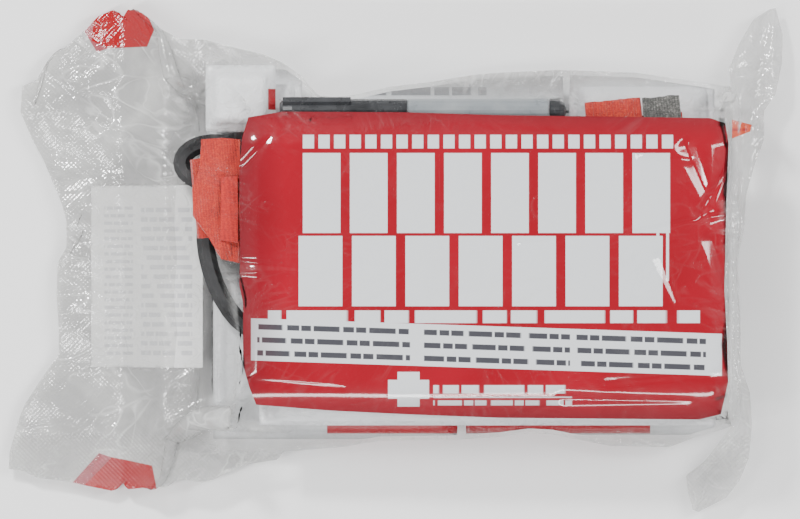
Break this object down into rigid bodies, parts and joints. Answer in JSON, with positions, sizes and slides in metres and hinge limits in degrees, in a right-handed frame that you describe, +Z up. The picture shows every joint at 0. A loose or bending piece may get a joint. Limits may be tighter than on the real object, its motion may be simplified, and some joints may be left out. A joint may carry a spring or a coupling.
{
  "type": "packed tourniquet kit",
  "caption": "Clear vacuum-sealed pouch with a red label card, holding a folded windlass tourniquet, marker, shears and wrapped dressings.",
  "frame": {"origin": "middle of the footprint on the surface that the pack lies on", "axes": "+X along the pack from the tear-off header to the sealed end, +Y towards the label card's top edge, +Z up out of the label"},
  "size_m": [0.375, 0.244, 0.0684],
  "materials": {
    "film": "clear glossy film",
    "label": "glossy printed card",
    "paper": "matte printed card",
    "orange_webbing": "woven webbing with loop pile",
    "ribbon_webbing": "ribbed woven ribbon",
    "hook_tape": "hook tape",
    "grey_webbing": "woven tape",
    "black_plastic": "moulded, satin",
    "grey_plastic": "moulded, glossy",
    "felt": "felt",
    "steel": "brushed",
    "handle_plastic": "moulded, satin",
    "white_wrap": "white crinkled wrap",
    "foil_wrap": "grey laminated foil wrap"
  },
  "bodies": {
    "pack": {"back_film": "film", "end_seal": "film", "instruction_card": "paper", "trauma_dressing": "white_wrap", "compressed_gauze_1": "white_wrap", "compressed_gauze_2": "white_wrap", "hemostatic_gauze": "foil_wrap", "gloves_1": "white_wrap", "gloves_2": "white_wrap", "chest_seal_1": "foil_wrap", "chest_seal_2": "foil_wrap", "marker_barrel": "grey_plastic", "marker_plug": "grey_plastic", "marker_nib": "felt", "finger_handle": "handle_plastic", "blade_lower": "steel", "shears_pivot": "steel"},
    "header": {"tear_strip": "film"},
    "front": {"front_film": "film", "label_card": "label"},
    "tourniquet": {"band": "orange_webbing", "running_strap": "orange_webbing", "band_tail": "orange_webbing", "hook_tip": "hook_tape", "buckle": "black_plastic", "base_plate": "black_plastic", "windlass_clip": "black_plastic"},
    "ribbon": {"inner_ribbon": "ribbon_webbing"},
    "rod": {"windlass_rod": "black_plastic"},
    "strap": {"time_strap": "grey_webbing"},
    "cap": {"marker_cap": "black_plastic"},
    "thumb_side": {"thumb_handle": "handle_plastic", "blade_upper": "steel"}
  },
  "joints": [
    {"name": "tear_strip_off", "type": "slide", "parent": "pack", "child": "header", "axis": [-1, 0, 0], "range_m": [0, 0.06]},
    {"name": "front_opens", "type": "hinge", "parent": "pack", "child": "front", "pos_m": [0.162, 0, 0.02], "axis": [0, 1, 0], "range_deg": [0, 150], "deforming": ["front_film", "label_card"]},
    {"name": "tourniquet_out", "type": "slide", "parent": "pack", "child": "tourniquet", "axis": [0, 0, 1], "range_m": [0, 0.12]},
    {"name": "rod_seats", "type": "slide", "parent": "tourniquet", "child": "ribbon", "axis": [0, 0, -1], "range_m": [0, 0.0041], "deforming": ["inner_ribbon"]},
    {"name": "windlass_turn", "type": "hinge", "parent": "ribbon", "child": "rod", "pos_m": [0.0113, 0.03954, 0.0619], "axis": [0, 0, 1], "range_deg": [0, 540]},
    {"name": "time_strap_folds", "type": "hinge", "parent": "tourniquet", "child": "strap", "pos_m": [0.05217, 0.03244, 0.06105], "axis": [-0.9953, -0.0964, 0], "range_deg": [0, 180]},
    {"name": "cap_off", "type": "slide", "parent": "pack", "child": "cap", "axis": [-1, 0, 0], "range_m": [0, 0.035]},
    {"name": "shears_open", "type": "hinge", "parent": "pack", "child": "thumb_side", "pos_m": [0.01, 0.014, 0.036], "axis": [0, 0, -1], "range_deg": [0, 40]}
  ]
}
